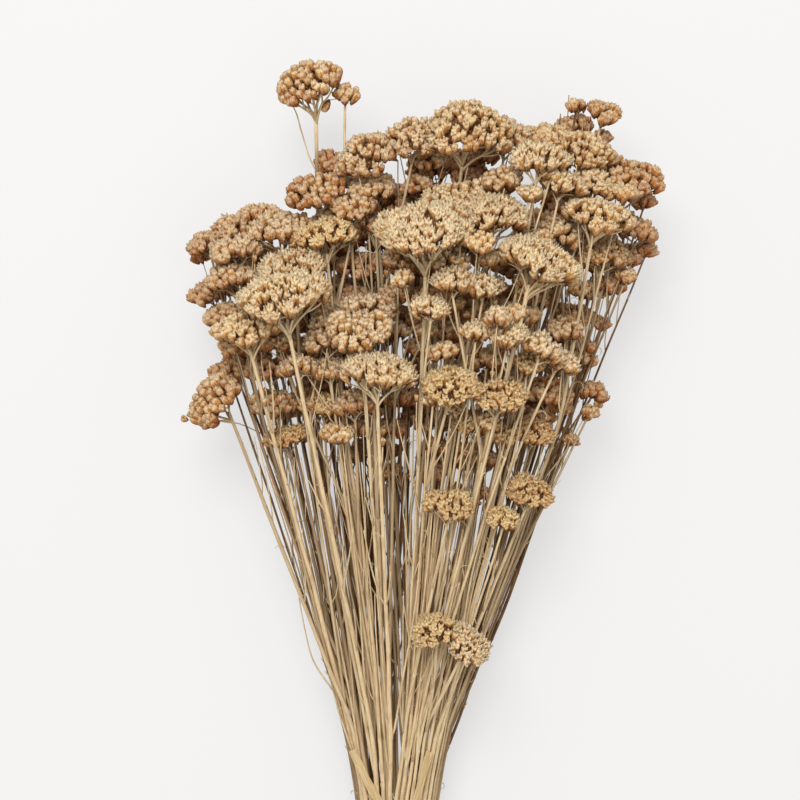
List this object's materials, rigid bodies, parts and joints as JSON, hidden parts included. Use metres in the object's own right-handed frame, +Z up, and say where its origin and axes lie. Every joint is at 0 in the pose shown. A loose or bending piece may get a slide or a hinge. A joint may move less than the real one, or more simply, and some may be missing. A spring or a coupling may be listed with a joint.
{
  "type": "dried flower bunch",
  "caption": "Bunch of dried straw-coloured stems with flat-topped flower heads, tied near the cut ends with raffia, lying on its side.",
  "frame": {"origin": "centre of the bounding box in X and Y, on the surface that the bunch lies on", "axes": "+Z up, +Y along the bunch from the cut ends to the flower heads, +X across the bunch"},
  "size_m": [0.2834, 0.543, 0.1596],
  "materials": {
    "dried_flower_stem": "matt, dry straw stalks and beige to brown flower heads",
    "raffia": "matt with a faint sheen, fibrous"
  },
  "bodies": {
    "root": {"flower_stem_01": "dried_flower_stem", "flower_stem_02": "dried_flower_stem", "flower_stem_03": "dried_flower_stem", "flower_stem_04": "dried_flower_stem", "flower_stem_05": "dried_flower_stem", "flower_stem_06": "dried_flower_stem", "flower_stem_07": "dried_flower_stem", "flower_stem_08": "dried_flower_stem", "flower_stem_09": "dried_flower_stem", "flower_stem_10": "dried_flower_stem", "flower_stem_11": "dried_flower_stem", "flower_stem_12": "dried_flower_stem", "flower_stem_13": "dried_flower_stem", "flower_stem_14": "dried_flower_stem", "flower_stem_15": "dried_flower_stem", "flower_stem_16": "dried_flower_stem", "flower_stem_17": "dried_flower_stem", "flower_stem_18": "dried_flower_stem", "flower_stem_19": "dried_flower_stem", "flower_stem_20": "dried_flower_stem", "flower_stem_21": "dried_flower_stem", "flower_stem_22": "dried_flower_stem", "flower_stem_23": "dried_flower_stem", "flower_stem_24": "dried_flower_stem", "flower_stem_25": "dried_flower_stem", "flower_stem_26": "dried_flower_stem", "flower_stem_27": "dried_flower_stem", "flower_stem_28": "dried_flower_stem", "flower_stem_29": "dried_flower_stem", "flower_stem_30": "dried_flower_stem", "flower_stem_31": "dried_flower_stem", "flower_stem_32": "dried_flower_stem", "flower_stem_33": "dried_flower_stem", "flower_stem_34": "dried_flower_stem", "flower_stem_35": "dried_flower_stem", "flower_stem_36": "dried_flower_stem", "flower_stem_37": "dried_flower_stem", "flower_stem_38": "dried_flower_stem", "flower_stem_39": "dried_flower_stem", "flower_stem_40": "dried_flower_stem", "flower_stem_41": "dried_flower_stem", "flower_stem_42": "dried_flower_stem", "flower_stem_43": "dried_flower_stem", "flower_stem_44": "dried_flower_stem", "flower_stem_45": "dried_flower_stem", "flower_stem_46": "dried_flower_stem", "flower_stem_47": "dried_flower_stem", "flower_stem_48": "dried_flower_stem", "flower_stem_49": "dried_flower_stem", "flower_stem_50": "dried_flower_stem", "flower_stem_51": "dried_flower_stem", "flower_stem_52": "dried_flower_stem", "flower_stem_53": "dried_flower_stem", "flower_stem_54": "dried_flower_stem", "flower_stem_55": "dried_flower_stem", "flower_stem_56": "dried_flower_stem", "flower_stem_57": "dried_flower_stem", "raffia_tie": "raffia"}
  },
  "joints": []
}
